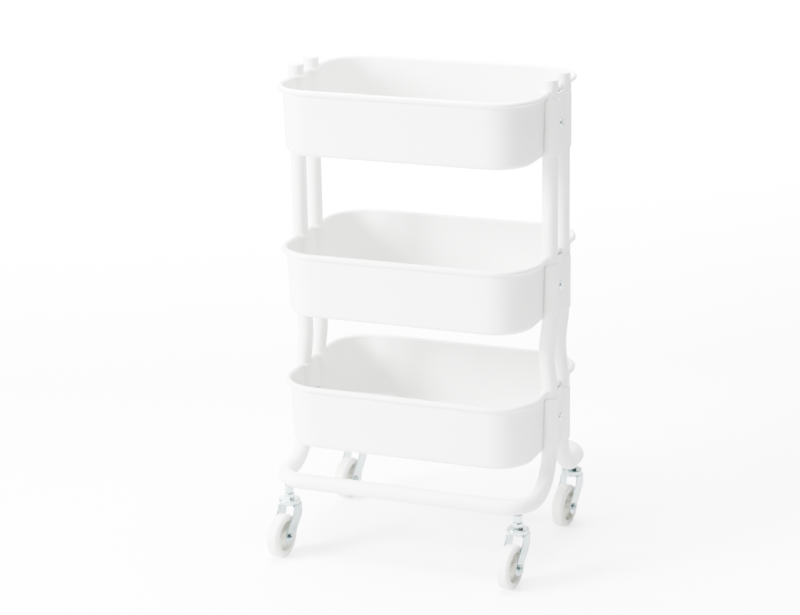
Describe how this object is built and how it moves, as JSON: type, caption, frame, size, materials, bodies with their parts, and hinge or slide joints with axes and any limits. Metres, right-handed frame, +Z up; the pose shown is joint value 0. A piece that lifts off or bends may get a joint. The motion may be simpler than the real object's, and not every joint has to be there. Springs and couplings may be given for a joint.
{
  "type": "rolling pantry cart",
  "caption": "Open rolling cart: round-cornered steel trays clamped between bent tube uprights on swivel casters.",
  "frame": {"origin": "on the floor, at the middle of the footprint with the casters trailing to the front", "axes": "+X along the long side to the right, +Y towards the rear, +Z up"},
  "size_m": [0.4502, 0.3596, 0.78],
  "materials": {
    "white_powder_coat": "satin powder coat",
    "zinc_plate": "bright zinc plate",
    "bright_steel": "plain bright steel",
    "white_tyre": "satin",
    "grey_hub": "satin",
    "white_plug": "satin"
  },
  "bodies": {
    "cart_frame": {"tray_top": "white_powder_coat", "clamp_plate_top_left": "white_powder_coat", "clamp_plate_top_right": "white_powder_coat", "tray_middle": "white_powder_coat", "clamp_plate_middle_left": "white_powder_coat", "clamp_plate_middle_right": "white_powder_coat", "tray_bottom": "white_powder_coat", "clamp_plate_bottom_left": "white_powder_coat", "clamp_plate_bottom_right": "white_powder_coat", "clamp_bolts": "zinc_plate", "clamp_nuts": "zinc_plate", "leg_front_left": "white_powder_coat", "upper_tube_front_left": "white_powder_coat", "tube_cap_front_left": "white_plug", "leg_front_right": "white_powder_coat", "upper_tube_front_right": "white_powder_coat", "tube_cap_front_right": "white_plug", "leg_rear_left": "white_powder_coat", "upper_tube_rear_left": "white_powder_coat", "tube_cap_rear_left": "white_plug", "leg_rear_right": "white_powder_coat", "upper_tube_rear_right": "white_powder_coat", "tube_cap_rear_right": "white_plug", "tube_joiners": "bright_steel", "rail_joiners": "bright_steel", "lock_nuts": "zinc_plate", "rail_nuts": "zinc_plate", "caster_stem_front_left": "zinc_plate", "bearing_cap_front_left": "zinc_plate", "caster_stem_front_right": "zinc_plate", "bearing_cap_front_right": "zinc_plate", "caster_stem_rear_left": "zinc_plate", "bearing_cap_rear_left": "zinc_plate", "caster_stem_rear_right": "zinc_plate", "bearing_cap_rear_right": "zinc_plate"},
    "caster_front_left": {"fork_front_left": "zinc_plate", "axle_front_left": "zinc_plate", "axle_nut_front_left": "zinc_plate", "bearing_balls_front_left": "bright_steel"},
    "wheel_front_left": {"wheel_hub_front_left": "grey_hub", "tyre_front_left": "white_tyre"},
    "caster_front_right": {"fork_front_right": "zinc_plate", "axle_front_right": "zinc_plate", "axle_nut_front_right": "zinc_plate", "bearing_balls_front_right": "bright_steel"},
    "wheel_front_right": {"wheel_hub_front_right": "grey_hub", "tyre_front_right": "white_tyre"},
    "caster_rear_left": {"fork_rear_left": "zinc_plate", "axle_rear_left": "zinc_plate", "axle_nut_rear_left": "zinc_plate", "bearing_balls_rear_left": "bright_steel"},
    "wheel_rear_left": {"wheel_hub_rear_left": "grey_hub", "tyre_rear_left": "white_tyre"},
    "caster_rear_right": {"fork_rear_right": "zinc_plate", "axle_rear_right": "zinc_plate", "axle_nut_rear_right": "zinc_plate", "bearing_balls_rear_right": "bright_steel"},
    "wheel_rear_right": {"wheel_hub_rear_right": "grey_hub", "tyre_rear_right": "white_tyre"}
  },
  "joints": [
    {"name": "swivel_front_left", "type": "hinge", "parent": "cart_frame", "child": "caster_front_left", "pos_m": [-0.19457, -0.11662, 0.0832], "axis": [0, 0, 1], "continuous": true},
    {"name": "roll_front_left", "type": "hinge", "parent": "caster_front_left", "child": "wheel_front_left", "pos_m": [-0.1975, -0.14447, 0.035], "axis": [0.9945, -0.1045, 0], "continuous": true},
    {"name": "swivel_front_right", "type": "hinge", "parent": "cart_frame", "child": "caster_front_right", "pos_m": [0.19457, -0.11662, 0.0832], "axis": [0, 0, 1], "continuous": true},
    {"name": "roll_front_right", "type": "hinge", "parent": "caster_front_right", "child": "wheel_front_right", "pos_m": [0.19165, -0.14447, 0.035], "axis": [0.9945, -0.1045, 0], "continuous": true},
    {"name": "swivel_rear_left", "type": "hinge", "parent": "cart_frame", "child": "caster_rear_left", "pos_m": [-0.19457, 0.15927, 0.0832], "axis": [0, 0, 1], "continuous": true},
    {"name": "roll_rear_left", "type": "hinge", "parent": "caster_rear_left", "child": "wheel_rear_left", "pos_m": [-0.1975, 0.13142, 0.035], "axis": [0.9945, -0.1045, 0], "continuous": true},
    {"name": "swivel_rear_right", "type": "hinge", "parent": "cart_frame", "child": "caster_rear_right", "pos_m": [0.19457, 0.15927, 0.0832], "axis": [0, 0, 1], "continuous": true},
    {"name": "roll_rear_right", "type": "hinge", "parent": "caster_rear_right", "child": "wheel_rear_right", "pos_m": [0.19165, 0.13142, 0.035], "axis": [0.9945, -0.1045, 0], "continuous": true}
  ]
}
